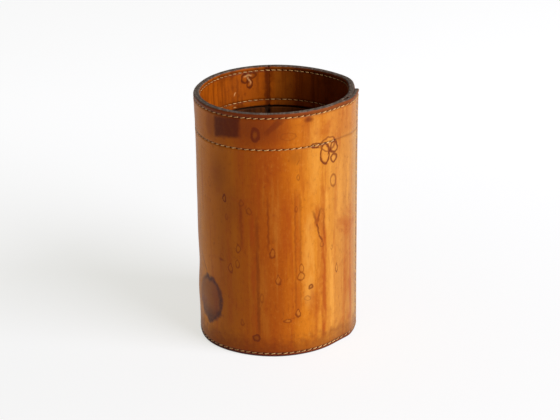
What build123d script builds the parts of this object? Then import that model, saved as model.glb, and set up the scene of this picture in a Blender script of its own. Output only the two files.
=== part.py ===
from build123d import *
from math import atan2, cos, degrees, radians, sin, sqrt
import os

# Leather dice cup, hand stitched. Millimetres and degrees.
# Origin: middle of the footprint, on the surface that the cup stands on. +Z points up, out of the mouth.
# The wall is one sheet rolled into a tube; its two ends lap over each other on the +X side.
# Angles run counter-clockwise seen from above, from +X.

# Overall sizes
cup_width = 90.0  # across the cup, from the single wall to the outside of the lap
cup_height = 141.0

# Leather and board thicknesses
wall_thickness = 1.8
collar_thickness = 1.5
lining_thickness = 1.2
pan_thickness = 1.8
board_thickness = 1.5
floor_lining_thickness = 1.2
glue_line = 0.05  # between two faces that are glued together

# Lap seam of the wall
seam_angle = -12.0  # middle of the lap, where its stitches run
lap_length = 15.6
shoulder_radius = 12.0  # middle of the sheet, where it bends down on to the lap
shoulder_gap = 0.8  # from the end of that bend to the end of the sheet underneath
edge_round = 0.4  # burnished corners of the wall's rim and foot

# Collar inside the mouth
collar_depth = 23.5
collar_joint_angle = 93.5
collar_joint_gap = 0.8

# Lining of the wall, below the collar
lining_joint_angle = 96.0
lining_joint_gap = 2.6
collar_to_lining_gap = 1.0

# Base: a pan with its skirt turned down, a board and a lining disc on top of it
pan_height = 8.0
pan_bend_radius = 3.0  # outside of the moulded bend
disc_clearance = 0.3  # between the floor's discs and the wall

# Stitches: flat waxed thread, two thread ends side by side in each hole
stitch_pitch = 3.5
thread_width = 0.8
thread_thickness = 0.5
leg_thickness = 0.4
leg_gap = 0.1
thread_clearance = 0.08  # between a stitch and the leather under it
hole_clearance = 0.05  # round the thread in its hole
rim_row_depth = 2.4  # below the rim
collar_lip = 3.8  # from the lower row down to the collar's lower edge
base_row_height = 2.0
row_end_margin = 2.4  # from the sheet's outer end to the nearest hole of a row round the cup

# Worked out from the sizes above
lap_step = wall_thickness + glue_line
wall_radius = (cup_width - lap_step - wall_thickness) / 2  # middle of the sheet, where it lies single
wall_inner_radius = wall_radius - wall_thickness / 2
wall_outer_radius = wall_radius + wall_thickness / 2
collar_outer_radius = wall_inner_radius - glue_line
collar_inner_radius = collar_outer_radius - collar_thickness
lining_inner_radius = collar_outer_radius - lining_thickness
pan_radius = wall_inner_radius - glue_line
skirt_inner_radius = pan_radius - pan_thickness
disc_radius = wall_inner_radius - disc_clearance
axis_shift = (-lap_step / 2, 0, 0)  # from the tube's axis to the middle of the footprint

half_lap = degrees(lap_length / 2 / wall_radius)
inner_end = seam_angle - half_lap
outer_end = seam_angle + half_lap + 360

# The sheet leaves its circle on a tangent and bends back on to a circle one step further out.
bend_centre_radius = wall_radius + lap_step - shoulder_radius
tangent_length = sqrt(bend_centre_radius**2 - (wall_radius - shoulder_radius) ** 2)
ramp_turn = degrees(atan2(tangent_length, wall_radius - shoulder_radius))
ramp_end = inner_end + 360 - degrees(shoulder_gap / wall_radius)
ramp_start = ramp_end - ramp_turn

board_base = pan_height + glue_line
floor_lining_base = board_base + board_thickness + glue_line
lining_base = floor_lining_base + floor_lining_thickness + glue_line
collar_base = cup_height - collar_depth
lining_top = collar_base - collar_to_lining_gap

rim_row = cup_height - rim_row_depth
collar_row = collar_base + collar_lip
row_margin_angle = degrees(row_end_margin / wall_outer_radius)
full_row_end = outer_end + 360 - row_margin_angle
collar_row_end = ramp_start + 360  # this row's stitches stop where the sheet leaves its circle
hole_width = 2 * leg_thickness + leg_gap + 2 * hole_clearance
hole_height = thread_width + 2 * hole_clearance
hole_reach = wall_outer_radius + lap_step + 1  # a cutter ends outside the lap
channel_depth = thread_thickness + 2 * hole_clearance


def polar(radius, angle, side=0.0):
    """Point at a radius and angle from the tube's axis, moved sideways from that radius."""
    turn = radians(angle)
    return Vector(radius * cos(turn) - side * sin(turn), radius * sin(turn) + side * cos(turn))


def sheet_side(offset):
    """One face of the rolled sheet seen from above, at an offset from its middle."""
    bend_centre = polar(bend_centre_radius, ramp_end)
    tangent_start = polar(wall_radius + offset, ramp_start)
    tangent_end = polar(wall_radius + offset, ramp_start, tangent_length)
    return [
        CenterArc((0, 0), wall_radius + offset, inner_end, ramp_start - inner_end),
        Line(tangent_start, tangent_end),
        CenterArc(bend_centre, shoulder_radius + offset, ramp_start, ramp_turn),
        CenterArc((0, 0), wall_radius + lap_step + offset, ramp_end, outer_end - ramp_end),
    ]


def surface_radius(angle):
    """Distance from the axis to the outside of the wall."""
    turn = (angle - ramp_start) % 360
    line_turn = degrees(atan2(tangent_length, wall_outer_radius))
    if turn < line_turn:
        return wall_outer_radius / cos(radians(turn))
    if turn < ramp_turn:
        from_bend = radians(ramp_turn - turn)
        bend_outer_radius = shoulder_radius + wall_thickness / 2
        reach = bend_outer_radius**2 - (bend_centre_radius * sin(from_bend)) ** 2
        return bend_centre_radius * cos(from_bend) + sqrt(reach)
    if turn < outer_end - ramp_start:
        return wall_outer_radius + lap_step
    return wall_outer_radius


def ring_angles(last_angle):
    """Angles of the holes in a row round the cup, from just past the sheet's outer end."""
    first_angle = outer_end + row_margin_angle
    span = last_angle - first_angle
    count = round(radians(span) * wall_outer_radius / stitch_pitch)
    return [first_angle + span * step / count for step in range(count + 1)]


def seam_stretches():
    """Heights of the upright row's holes: two stretches, each a stitch clear of the rows round the cup."""
    stretches = []
    for low, high in ((base_row_height, collar_row), (collar_row, rim_row)):
        bottom = low + stitch_pitch
        length = high - stitch_pitch - bottom
        count = round(length / stitch_pitch)
        stretches.append([bottom + length * step / count for step in range(count + 1)])
    return stretches


def row_holes(row_z, inner_radius, last_angle):
    """Cutters for the holes of a row round the cup."""
    length = hole_reach - inner_radius + 1
    cutter = Pos(hole_reach - length / 2, 0, row_z) * Box(length, hole_width, hole_height)
    return [Rot(0, 0, angle) * cutter for angle in ring_angles(last_angle)]


def collar_holes():
    """Cutters for the two rows that go through the wall and the collar."""
    upper = row_holes(rim_row, collar_inner_radius, full_row_end)
    return upper + row_holes(collar_row, collar_inner_radius, collar_row_end)


def base_holes():
    """Cutters for the row that goes through the wall and the pan's skirt."""
    return row_holes(base_row_height, skirt_inner_radius, full_row_end)


def seam_holes():
    """Cutters for the upright row's holes and for the channel that its inside stitches lie in."""
    length = hole_reach - wall_inner_radius + 1
    cutters = []
    for heights in seam_stretches():
        for height in heights:
            cutters.append(Pos(hole_reach - length / 2, 0, height) * Box(length, hole_height, hole_width))
        channel_length = heights[-1] - heights[0] + hole_width
        channel_middle = (heights[-1] + heights[0]) / 2
        channel = Box(2 * channel_depth, hole_height, channel_length)
        cutters.append(Pos(wall_inner_radius, 0, channel_middle) * channel)
    return [Rot(0, 0, seam_angle) * cutter for cutter in cutters]


def stitch(outline, window, plane):
    """One closed stitch: a flat thread round the leather between two holes."""
    face = make_face(Polyline(*outline, close=True)) - make_face(Polyline(*window, close=True))
    return extrude(plane * face, amount=thread_width / 2, both=True)


def ring_stitch(start, end, inner_radius, row_z):
    """A stitch of a row round the cup, lying on the outside of the wall and on a round inner face."""
    middle = surface_radius((start + end) / 2)
    chord = (surface_radius(start) + surface_radius(end)) / 2 * cos(radians((end - start) / 2))
    stand_off = max(0, middle - chord) + thread_clearance
    near = leg_gap / 2
    far = near + leg_thickness
    outer_start = surface_radius(start) + stand_off
    outer_end_radius = surface_radius(end) + stand_off
    inside = inner_radius - thread_clearance
    outline = [
        polar(outer_start + thread_thickness, start, near),
        polar(outer_end_radius + thread_thickness, end, -near),
        polar(inside - thread_thickness, end, -near),
        polar(inside - thread_thickness, start, near),
    ]
    window = [
        polar(outer_start, start, far),
        polar(outer_end_radius, end, -far),
        polar(inside, end, -far),
        polar(inside, start, far),
    ]
    return stitch(outline, window, Plane.XY.offset(row_z))


def ring_row(row_z, inner_radius, last_angle):
    """All stitches of a row round the cup."""
    angles = ring_angles(last_angle)
    return [ring_stitch(start, end, inner_radius, row_z) for start, end in zip(angles, angles[1:])]


def seam_row():
    """The upright row through both layers of the lap, sunk in its channel on the inside."""
    outside = wall_outer_radius + lap_step + thread_clearance
    inside = wall_inner_radius + hole_clearance + thread_thickness
    near = leg_gap / 2
    far = near + leg_thickness
    across = polar(1, seam_angle - 90)
    plane = Plane(origin=(0, 0, 0), x_dir=polar(1, seam_angle), z_dir=across)
    stitches = []
    for heights in seam_stretches():
        for low, high in zip(heights, heights[1:]):
            outline = [
                (outside + thread_thickness, low + near),
                (outside + thread_thickness, high - near),
                (inside - thread_thickness, high - near),
                (inside - thread_thickness, low + near),
            ]
            window = [(outside, low + far), (outside, high - far), (inside, high - far), (inside, low + far)]
            stitches.append(stitch(outline, window, plane))
    return stitches


def tube(outer_radius, inner_radius, bottom, top):
    """An upright tube on the cup's axis."""
    outer = Cylinder(outer_radius, top - bottom, align=(Align.CENTER, Align.CENTER, Align.MIN))
    inner = Cylinder(inner_radius, top - bottom, align=(Align.CENTER, Align.CENTER, Align.MIN))
    return Pos(0, 0, bottom) * (outer - inner)


def joint_cutter(angle, gap, radius, bottom, top):
    """The open upright joint between the two ends of a rolled band."""
    cutter = Box(radius, gap, top - bottom + 2, align=(Align.MIN, Align.CENTER, Align.MIN))
    return Rot(0, 0, angle) * (Pos(radius / 2, 0, bottom - 1) * cutter)


def make_outer_wall():
    outer_side = sheet_side(wall_thickness / 2)
    inner_side = sheet_side(-wall_thickness / 2)
    ends = [
        Line(outer_side[0] @ 0, inner_side[0] @ 0),
        Line(outer_side[-1] @ 1, inner_side[-1] @ 1),
    ]
    wall = extrude(make_face(outer_side + inner_side + ends), amount=cup_height)
    corners = wall.edges().group_by(Axis.Z)[0] + wall.edges().group_by(Axis.Z)[-1]
    wall = fillet(corners.filter_by(lambda edge: edge.length > 2 * wall_thickness), edge_round)
    return wall - (collar_holes() + base_holes() + seam_holes())


def make_rim_collar():
    band = tube(collar_outer_radius, collar_inner_radius, collar_base, cup_height)
    joint = joint_cutter(collar_joint_angle, collar_joint_gap, wall_radius, collar_base, cup_height)
    return band - [joint] - collar_holes()


def make_wall_lining():
    band = tube(collar_outer_radius, lining_inner_radius, lining_base, lining_top)
    joint = joint_cutter(lining_joint_angle, lining_joint_gap, wall_radius, lining_base, lining_top)
    return band - joint


def make_base_pan():
    block = Cylinder(pan_radius, pan_height, align=(Align.CENTER, Align.CENTER, Align.MIN))
    block = fillet(block.edges().group_by(Axis.Z)[-1], pan_bend_radius)
    hollow_height = pan_height - pan_thickness
    hollow = Cylinder(skirt_inner_radius, hollow_height, align=(Align.CENTER, Align.CENTER, Align.MIN))
    hollow = fillet(hollow.edges().group_by(Axis.Z)[-1], pan_bend_radius - pan_thickness)
    return block - hollow - base_holes()


def make_disc(thickness, bottom):
    return Pos(0, 0, bottom) * Cylinder(
        disc_radius, thickness, align=(Align.CENTER, Align.CENTER, Align.MIN)
    )


pieces = {
    "outer_wall": make_outer_wall(),
    "rim_collar": make_rim_collar(),
    "wall_lining": make_wall_lining(),
    "base_pan": make_base_pan(),
    "floor_stiffener": make_disc(board_thickness, board_base),
    "floor_lining": make_disc(floor_lining_thickness, floor_lining_base),
    "rim_stitching": ring_row(rim_row, collar_inner_radius, full_row_end),
    "collar_stitching": ring_row(collar_row, collar_inner_radius, collar_row_end),
    "base_stitching": ring_row(base_row_height, skirt_inner_radius, full_row_end),
    "seam_stitching": seam_row(),
}

os.makedirs("parts", exist_ok=True)
for name, shape in pieces.items():
    solids = ShapeList(shape).solids() if isinstance(shape, list) else shape.solids()
    placed = [solid.moved(Location(axis_shift)) for solid in solids]
    whole = placed[0] if len(placed) == 1 else Compound(children=placed)
    export_step(whole, f"parts/{name}.step")
    print(name, len(placed), "solids", round(sum(solid.volume for solid in placed)), "mm3")
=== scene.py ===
import bmesh
import bpy
from math import atan2, cos, exp, hypot, pi, radians, sin, sqrt
from mathutils import Matrix, Vector, noise


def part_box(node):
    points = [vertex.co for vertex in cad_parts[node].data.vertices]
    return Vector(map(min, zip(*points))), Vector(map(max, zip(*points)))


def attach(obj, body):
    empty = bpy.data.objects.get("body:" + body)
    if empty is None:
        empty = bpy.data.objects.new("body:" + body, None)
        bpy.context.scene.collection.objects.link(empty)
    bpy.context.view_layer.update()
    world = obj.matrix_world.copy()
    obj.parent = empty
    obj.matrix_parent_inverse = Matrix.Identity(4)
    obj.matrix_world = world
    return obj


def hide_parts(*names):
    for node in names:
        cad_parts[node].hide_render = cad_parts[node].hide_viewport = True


# Leather dice cup. Lengths below are in millimetres, and mm turns them into Blender's metres.
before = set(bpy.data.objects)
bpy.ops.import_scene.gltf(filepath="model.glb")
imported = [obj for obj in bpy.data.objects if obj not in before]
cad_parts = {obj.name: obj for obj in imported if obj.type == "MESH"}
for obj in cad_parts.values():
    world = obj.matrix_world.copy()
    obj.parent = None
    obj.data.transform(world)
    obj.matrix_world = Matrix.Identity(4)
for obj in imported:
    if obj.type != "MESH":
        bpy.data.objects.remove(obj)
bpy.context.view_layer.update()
mm = 0.001
sameSpot = 0.0001  # points nearer than this are one
print("frame loaded")


def nodeBox(node):
    low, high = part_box(node)
    return low / mm, high / mm


cup = {
    "thickness": 1.8,
    "edgeRound": 0.8,  # burnished outer corners of the rim and the foot
    "edgeInside": 0.12,
    "seamAngle": -12.0,  # middle of the lap
    "lapLength": 15.6,
    "lapStep": 1.85,
    "shoulderRadius": 12.0,  # the bend where the sheet comes down on to the lap
    "shoulderGap": 0.8,
    "stitchPitch": 3.5,
    "rowMargin": 2.4,  # from the lap's edge to the nearest hole of a row
    "besideRow": (0.3, 0.65, 1.1, 1.7),  # where the mesh is closer, each side of a row
    "edgeStep": 0.35,  # the first step of the mesh from an edge
    "leastStep": 0.22,
    "cornerWear": 1.2,  # how far the corners of a cut end are rubbed away
    "mapSize": 300.0,  # flat leather across the whole of a panel's map
    # how far out of round: the number of lobes, then their cosine and sine parts
    "rimShape": ((2, -0.74, 0.12), (3, 0.66, -0.35)),
    "footShape": ((2, -0.16, 0.5),),
    # hand-shaped lumps: degrees, how wide in degrees, height, how tall, how far out
    "lumps": (
        (190, 26, 25, 9, 0.45),
        (190, 26, 43, 9, -0.4),
        (183, 24, 141, 16, 0.8),
        (36, 28, 141, 28, 1.2),
        (22, 13, 141, 15, 1.4),
        (75, 25, 141, 25, 0.5),
        (215, 22, 0, 10, 1.3),
    ),
}

wallLow, wallHigh = nodeBox("outer_wall")
outerRadius = (wallHigh.y - wallLow.y) / 2
axisX = wallLow.x + outerRadius
cupHeight = wallHigh.z
middleRadius = outerRadius - cup["thickness"] / 2
lapRadius = middleRadius + cup["lapStep"]
bendCentre = lapRadius - cup["shoulderRadius"]
tangentLength = sqrt(bendCentre**2 - (middleRadius - cup["shoulderRadius"]) ** 2)
rampTurn = atan2(tangentLength, middleRadius - cup["shoulderRadius"])
seamTurn = radians(cup["seamAngle"])
innerEnd = seamTurn - cup["lapLength"] / 2 / middleRadius
outerEnd = seamTurn + cup["lapLength"] / 2 / middleRadius + 2 * pi
rampEnd = innerEnd + 2 * pi - cup["shoulderGap"] / middleRadius
rampStart = rampEnd - rampTurn
circleLength = (rampStart - innerEnd) * middleRadius
bendLength = cup["shoulderRadius"] * rampTurn
lapStart = circleLength + tangentLength + bendLength
sheetLength = lapStart + (outerEnd - rampEnd) * lapRadius


def facing(turn):
    return Vector((cos(turn), sin(turn)))


def wallPath(along):
    # the middle of the rolled sheet seen from above, and which way is out
    if along < circleLength:
        out = facing(innerEnd + along / middleRadius)
        return out * middleRadius, out
    if along < circleLength + tangentLength:
        out = facing(rampStart)
        ahead = Vector((-out.y, out.x))
        return out * middleRadius + ahead * (along - circleLength), out
    if along < lapStart:
        out = facing(rampStart + (along - circleLength - tangentLength) / cup["shoulderRadius"])
        return facing(rampEnd) * bendCentre + out * cup["shoulderRadius"], out
    out = facing(rampEnd + (along - lapStart) / lapRadius)
    return out * lapRadius, out


def wallSurface(turn):
    # from the axis to the outside of the wall
    past = (turn - rampStart) % (2 * pi)
    if past < atan2(tangentLength, outerRadius):
        return outerRadius / cos(past)
    if past < rampTurn:
        left = rampTurn - past
        reach = (cup["shoulderRadius"] + cup["thickness"] / 2) ** 2 - (bendCentre * sin(left)) ** 2
        return bendCentre * cos(left) + sqrt(reach)
    if past < outerEnd - rampStart:
        return outerRadius + cup["lapStep"]
    return outerRadius


def alongAt(turn):
    # how far along the sheet its outside reaches an angle past the lap
    low, high = (outerEnd - 2 * pi - innerEnd) * middleRadius, sheetLength
    for halving in range(40):
        middle = (low + high) / 2
        point, out = wallPath(middle)
        point = point + out * cup["thickness"] / 2
        if atan2(point.y, point.x) % (2 * pi) < turn:
            low = middle
        else:
            high = middle
    return low


def outOfRound(turn, lobes):
    return sum(cosine * cos(count * turn) + sine * sin(count * turn) for count, cosine, sine in lobes)


def settle(x, y, z):
    # a used cup is a little out of round, and all its layers follow; this also turns millimetres to metres
    turn = atan2(y, x)
    up = (z / cupHeight) ** 2
    out = up * outOfRound(turn, cup["rimShape"]) + (1 - up) * outOfRound(turn, cup["footShape"])
    for middle, wide, height, tall, amount in cup["lumps"]:
        past = (turn - radians(middle) + pi) % (2 * pi) - pi
        out += amount * exp(-((past / radians(wide)) ** 2) - ((z - height) / tall) ** 2)
    grow = 1 + out / outerRadius
    return Vector(((x * grow + axisX) * mm, y * grow * mm, z * mm))


def rowTurns(last):
    # the turns of a row's holes, from just past the lap
    first = outerEnd + cup["rowMargin"] / outerRadius
    count = round((last - first) * outerRadius / cup["stitchPitch"])
    return [first + (last - first) * step / count for step in range(count + 1)]


fullRow = rowTurns(outerEnd + 2 * pi - cup["rowMargin"] / outerRadius)
collarRow = rowTurns(rampStart + 2 * pi)
rimRowZ = sum(box.z for box in nodeBox("rim_stitching")) / 2
collarRowZ = sum(box.z for box in nodeBox("collar_stitching")) / 2
baseRowZ = sum(box.z for box in nodeBox("base_stitching")) / 2
rowsZ = (baseRowZ, collarRowZ, rimRowZ)


def levelsBetween(low, high, rows, coarse):
    # heights for a panel's mesh: close together beside the stitch rows and the edges
    wanted = {low + cup["edgeStep"], high - cup["edgeStep"], *rows}
    for row in rows:
        for aside in cup["besideRow"]:
            wanted.update((row - aside, row + aside))
    steps = round((high - low) / coarse)
    wanted.update(low + (high - low) * step / steps for step in range(1, steps))
    kept = []
    for level in sorted(wanted):
        if low < level < high and (not kept or level - kept[-1] > cup["leastStep"]):
            kept.append(level)
    return kept


def sectionLoop(low, high, thickness, corners, levels):
    # once round a panel's cut section: up the outside, over the top, down the inside
    half = thickness / 2
    turns = (0, pi / 6, pi / 3, pi / 2)
    sides = []
    for corner in corners:
        arc = [(half - corner + corner * sin(turn), corner - corner * cos(turn)) for turn in turns]
        side = [(offset, low + rise) for offset, rise in arc]
        side += [(half, level) for level in levels]
        side += [(offset, high - rise) for offset, rise in reversed(arc)]
        sides.append(side)
    outside, inside = sides
    return outside + [(-offset, level) for offset, level in reversed(inside)] + outside[:1]


def makePanel(name, stations, loop, corner, path, relief, zero, stretch):
    # a flat cut panel, rolled on to its path, with a map of the flat leather
    bm = bmesh.new()
    sheetMap = bm.loops.layers.uv.new("sheet")
    sideLayer = bm.verts.layers.float.new("side")  # 1 outside, 0 inside
    columns, rows = len(stations) - 1, len(loop) - 1
    half = len(loop) // 2
    bmesh.ops.create_grid(bm, x_segments=columns, y_segments=rows, size=1)
    low = min(level for offset, level in loop)
    high = max(level for offset, level in loop)
    length = stations[-1]
    wear = cup["cornerWear"]
    places = {}
    for vert in bm.verts:
        column = round((vert.co.x + 1) / 2 * columns)
        row = round((vert.co.y + 1) / 2 * rows)
        along = stations[column]
        offset, level = loop[row]
        toEnd = min(along, length - along)
        if toEnd < corner:  # the cut ends are rounded too
            limit = loop[half // 2][0] - corner + sqrt(corner**2 - (corner - toEnd) ** 2)
            offset = max(-limit, min(limit, offset))
        if toEnd < wear:  # and so are their corners
            drop = wear - sqrt(wear**2 - (wear - toEnd) ** 2)
            level -= drop * ((level - (low + high) / 2) / (high - low) * 2) ** 15
        outer = 1.0 if row < half or row == rows else 0.0
        point, out = path(along)
        point = point + out * (offset + relief(along, level, outer))
        vert.co = settle(point.x, point.y, level)
        vert[sideLayer] = outer
        places[vert] = ((along - zero) * stretch / cup["mapSize"] + 0.5, level / cup["mapSize"])
    for face in bm.faces:
        face.smooth = True
        for corners in face.loops:
            corners[sheetMap].uv = places[corners.vert]
    bmesh.ops.remove_doubles(bm, verts=bm.verts, dist=sameSpot * mm)
    for face in closeEnds(bm):
        for corners in face.loops:
            nearest = [other for other in corners.vert.link_loops if other.face != face]
            corners[sheetMap].uv = nearest[0][sheetMap].uv
    bmesh.ops.recalc_face_normals(bm, faces=bm.faces)
    return finishMesh(bm, name)


def closeEnds(bm):
    # the two cut ends: the outside of each is bridged to its inside
    sideLayer = bm.verts.layers.float["side"]
    made = []
    openEdges = [edge for edge in bm.edges if edge.is_boundary]
    ends = []
    while openEdges:
        ring = [openEdges.pop()]
        grown = True
        while grown:
            tips = {vert for edge in ring for vert in edge.verts}
            more = [edge for edge in openEdges if edge.verts[0] in tips or edge.verts[1] in tips]
            openEdges = [edge for edge in openEdges if edge not in more]
            ring += more
            grown = bool(more)
        ends.append(ring)
    for ring in ends:
        chains = [edge for edge in ring if edge.verts[0][sideLayer] == edge.verts[1][sideLayer]]
        made += bmesh.ops.bridge_loops(bm, edges=chains)["faces"]
    return made


def finishMesh(bm, name):
    mesh = bpy.data.meshes.new(name)
    bm.to_mesh(mesh)
    bm.free()
    piece = bpy.data.objects.new(name, mesh)
    bpy.context.scene.collection.objects.link(piece)
    return piece


def settled(piece, node, material):
    # the piece gets its material, and stands for the plain node
    piece.data.materials.append(material)
    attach(piece, "root")
    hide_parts(node)
    print(piece.name, len(piece.data.polygons), "faces")


class Flow:
    # one socket of a graph, with Python's operators on it
    def __init__(self, graph, socket):
        self.graph = graph
        self.socket = socket

    def maths(self, operation, *values):
        return self.graph.add("ShaderNodeMath", {"operation": operation}, dict(enumerate(values)))

    def __add__(self, other):
        return self.maths("ADD", self, other)

    def __radd__(self, other):
        return self.maths("ADD", other, self)

    def __sub__(self, other):
        return self.maths("SUBTRACT", self, other)

    def __rsub__(self, other):
        return self.maths("SUBTRACT", other, self)

    def __mul__(self, other):
        return self.maths("MULTIPLY", self, other)

    def __rmul__(self, other):
        return self.maths("MULTIPLY", other, self)

    def __pow__(self, other):
        return self.maths("POWER", self, other)

    def __abs__(self):
        return self.maths("ABSOLUTE", self)

    def over(self, other):
        return self.maths("MAXIMUM", self, other)

    def sign(self):
        return self.maths("SIGN", self)


class Graph:
    # one material and its nodes
    def __init__(self, name):
        self.material = bpy.data.materials.new(name)
        self.material.use_nodes = True
        self.tree = self.material.node_tree
        self.tree.nodes.clear()

    def add(self, kind, settings, sockets, output=0):
        # any node: its type, then its settings, then what its sockets hold or take
        node = self.tree.nodes.new(kind)
        for key, value in settings.items():
            if key == "stops":
                elements = node.color_ramp.elements  # a new ramp has two
                for stop, (position, colour) in enumerate(value):
                    element = elements[stop] if stop < 2 else elements.new(position)
                    element.position = position
                    element.color = colour
            else:
                setattr(node, key, value)
        for key, value in sockets.items():
            if isinstance(value, Flow):
                self.tree.links.new(value.socket, node.inputs[key])
            else:
                node.inputs[key].default_value = value
        return Flow(self, node.outputs[output] if len(node.outputs) else None)

    def mix(self, first, second, mask):
        settings = {"data_type": "RGBA", "blend_type": "MIX", "clamp_factor": True}
        first, second = (value if isinstance(value, Flow) else (*value, 1.0) for value in (first, second))
        return self.add("ShaderNodeMix", settings, {0: mask, 6: first, 7: second}, 2)

    def rise(self, value, low, high, top=1.0):
        # 0 at low and top at high, eased; low may be the larger
        settings = {"interpolation_type": "SMOOTHSTEP"}
        return self.add("ShaderNodeMapRange", settings, {0: value, 1: low, 2: high, 3: 0.0, 4: top})

    def point(self, x, y, z=0.0):
        return self.add("ShaderNodeCombineXYZ", {}, {0: x, 1: y, 2: z})

    def noise(self, place, scale, detail=2.0, rough=0.5, twist=0.0):
        sockets = {"Vector": place, "Scale": scale, "Detail": detail, "Roughness": rough, "Distortion": twist}
        return self.add("ShaderNodeTexNoise", {}, sockets)

    def cells(self, place, scale):
        settings = {"feature": "DISTANCE_TO_EDGE"}
        return self.add("ShaderNodeTexVoronoi", settings, {"Vector": place, "Scale": scale})

    def part(self, place, index):
        return self.add("ShaderNodeSeparateXYZ", {}, {0: place}, index)

    def sheet(self):
        # millimetres on the flat leather: along it and up it
        uv = self.add("ShaderNodeUVMap", {"uv_map": "sheet"}, {})
        return (self.part(uv, 0) - 0.5) * cup["mapSize"], self.part(uv, 1) * cup["mapSize"]

    def side(self):
        # 1 on a panel's outside, 0 on its inside
        return self.add("ShaderNodeAttribute", {"attribute_name": "side"}, {}, 2)

    def solid(self):
        # the object's own coordinates in millimetres
        place = self.add("ShaderNodeTexCoord", {}, {}, 3)
        return self.add("ShaderNodeVectorMath", {"operation": "SCALE"}, {0: place, 3: 1000.0})

    def finish(self, colour, roughness, height, bumpDepth, fixed):
        bumped = {"Height": height, "Strength": 1.0, "Distance": bumpDepth * mm}
        bump = self.add("ShaderNodeBump", {}, bumped)
        sockets = {"Base Color": colour, "Roughness": roughness, "Normal": bump, **fixed}
        shader = self.add("ShaderNodeBsdfPrincipled", {}, sockets)
        self.add("ShaderNodeOutputMaterial", {}, {"Surface": shader})
        return self.material


def moved(graph, place, factor, shift):
    settings = {"operation": "MULTIPLY_ADD"}
    return graph.add("ShaderNodeVectorMath", settings, {0: place, 1: factor, 2: shift})


def distanceOf(graph, place):
    return graph.add("ShaderNodeVectorMath", {"operation": "LENGTH"}, {0: place}, 1)


def slope(graph, mark, x, z, move):
    # one number that changes evenly across the leather; mark's third part is 1
    settings = {"operation": "DOT_PRODUCT"}
    return graph.add("ShaderNodeVectorMath", settings, {0: mark, 1: (x, z, move)}, 1)


def ringMask(graph, mark, rings):
    # outlines left by dried drops: (x, z, half width, half height, line, strength, how pointed at the top)
    total = inside = None
    for x, z, wide, tall, line, strength, pointed in rings:
        across = slope(graph, mark, 1 / wide, 0, -x / wide)
        up = slope(graph, mark, 0, 1 / tall, -z / tall)
        if pointed:
            across = across * (up.over(0.0) * (2.5 * pointed) + 1)
        reach = across.maths("MULTIPLY_ADD", across, across, up * up)
        line = min(0.9, 2.2 * line / (wide + tall))
        ring = graph.rise(abs(reach - 1), 2 * line, 0.3 * line, strength)
        total = ring if total is None else total.over(ring)
        if strength > 0.5:
            middle = graph.rise(reach, 1.0, 0.2, strength)
            inside = middle if inside is None else inside.over(middle)
    return total, inside


def spotMask(graph, mark, spots):
    # soft filled marks: (x, z, half width, half height, softness, strength)
    total = None
    for x, z, wide, tall, soft, strength in spots:
        shifted = moved(graph, mark, (1 / wide, 1 / tall, 0), (-x / wide, -z / tall, 0))
        reach = distanceOf(graph, shifted)
        spot = graph.rise(reach, 1 + soft, 1 - soft, strength)
        total = spot if total is None else total.over(spot)
    return total


def strokeMask(graph, mark, strokes):
    # straight strokes: (x, z, x, z, half width, strength)
    total = None
    for startX, startZ, endX, endZ, wide, strength in strokes:
        long = hypot(endX - startX, endZ - startZ)
        aheadX, aheadZ = (endX - startX) / long, (endZ - startZ) / long
        middleX, middleZ = (startX + endX) / 2, (startZ + endZ) / 2
        along = slope(graph, mark, aheadX, aheadZ, -middleX * aheadX - middleZ * aheadZ)
        across = slope(graph, mark, -aheadZ, aheadX, middleX * aheadZ - middleZ * aheadX)
        ends = graph.rise(abs(along), long / 2 + wide, long / 2 - min(long / 4, 9))
        stroke = graph.rise(abs(across), wide, wide * 0.2, strength) * ends
        total = stroke if total is None else total.over(stroke)
    return total


def streakMask(graph, mark, streaks):
    # upright runs: (x, top, bottom, half width, strength)
    strokes = [(x, top, x, bottom, wide, strength) for x, top, bottom, wide, strength in streaks]
    return strokeMask(graph, mark, strokes)


def holeMask(graph, x, z, row, first, pitch, reach):
    # painted shade, dark round each hole of a row: first is where one hole is, pitch the distance to the next
    past = (x - first) * (1 / pitch) + 0.5
    along = (past.maths("FRACT", past) - 0.5) * pitch
    up = z - row
    return graph.rise(along * along + up * up, reach**2, (reach * 0.35) ** 2)


def edgeWearAndSheen(graph, flat):
    # the burnished cut edges, and where they are rubbed paler; their grey tones are partly painted sheen
    rubbedAndSheen = graph.rise(graph.noise(flat, 0.7, 4.0, 0.7), 0.42, 0.72)
    return graph.mix(wall["edge"], wall["edgeRubbedAndSheen"], rubbedAndSheen)


def besideLine(graph, z, row, low, high, top):
    return graph.rise(abs(z - row), low, high, top)


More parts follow.
